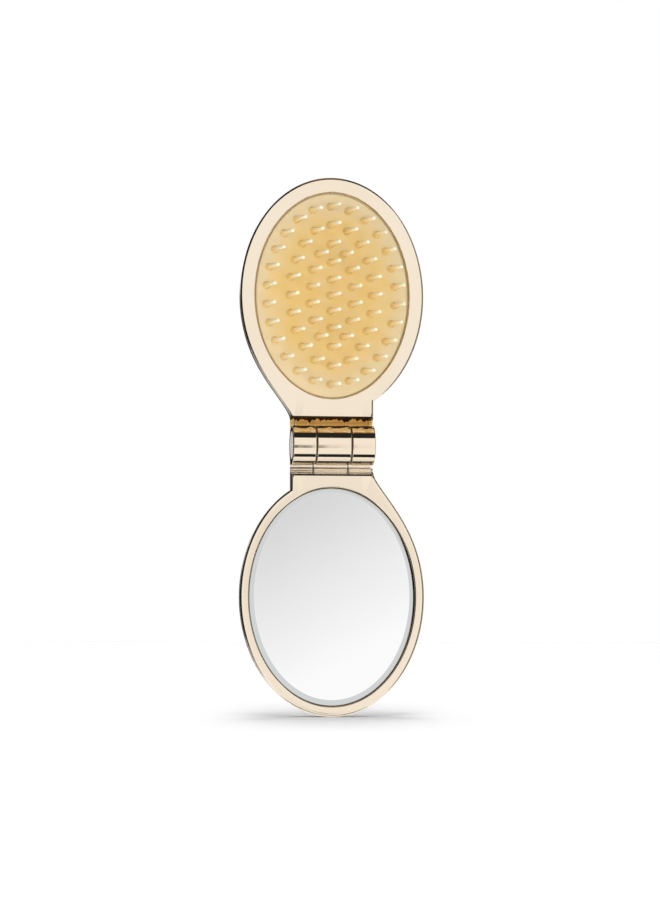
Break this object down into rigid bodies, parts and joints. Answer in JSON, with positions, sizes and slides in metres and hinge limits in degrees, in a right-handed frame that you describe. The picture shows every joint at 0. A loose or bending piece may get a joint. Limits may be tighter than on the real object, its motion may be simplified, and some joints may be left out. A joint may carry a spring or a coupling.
{
  "type": "folding hairbrush with mirror",
  "caption": "Pocket brush and mirror: two oval halves joined by a barrel hinge; the pins sink into their half as the mirror closes over them.",
  "frame": {"origin": "centre of the bounding box in X and Y, at the tip of the mirror half in Z", "axes": "+X to the right and across the halves, -Y towards the user's side with the pins and the mirror, +Z along the length from the mirror half to the brush half"},
  "size_m": [0.0614, 0.0246, 0.1786],
  "materials": {
    "shell": "polished metallised champagne gold",
    "cushion": "cream, slightly translucent, satin",
    "pins": "cream, slightly translucent, glossy",
    "carrier": "natural moulded",
    "steel": "bright",
    "washers": "dark brown nylon",
    "glass": "silvered, bevelled edge",
    "tape": "foam adhesive pad"
  },
  "bodies": {
    "mirror_half": {"mirror_frame": "shell", "mirror_cover": "shell", "mirror_glass": "glass", "mirror_tape": "tape", "mirror_screws": "steel", "hinge_shaft": "steel", "shaft_clip_left": "steel", "shaft_clip_right": "steel"},
    "brush_half": {"brush_frame": "shell", "brush_cover": "shell", "hinge_cap_left": "shell", "hinge_cap_right": "shell", "friction_washer_left": "washers", "friction_washer_right": "washers", "wave_washer": "steel", "return_springs": "steel"},
    "pin_bed": {"cushion_pad": "cushion", "brush_pins": "pins", "cushion_ring": "cushion", "pad_carrier": "carrier"}
  },
  "joints": [
    {"name": "fold", "type": "hinge", "parent": "mirror_half", "child": "brush_half", "pos_m": [0, -0.0034, 0.0893], "axis": [1, 0, 0], "range_deg": [0, 180]},
    {"name": "pad_lift", "type": "slide", "parent": "brush_half", "child": "pin_bed", "axis": [0, 1, 0], "range_m": [0, 0.008], "deforming": ["return_springs"]}
  ],
  "couplings": [
    {"joint": "pad_lift", "follows": "fold", "m_per_rad": 0.00254}
  ]
}
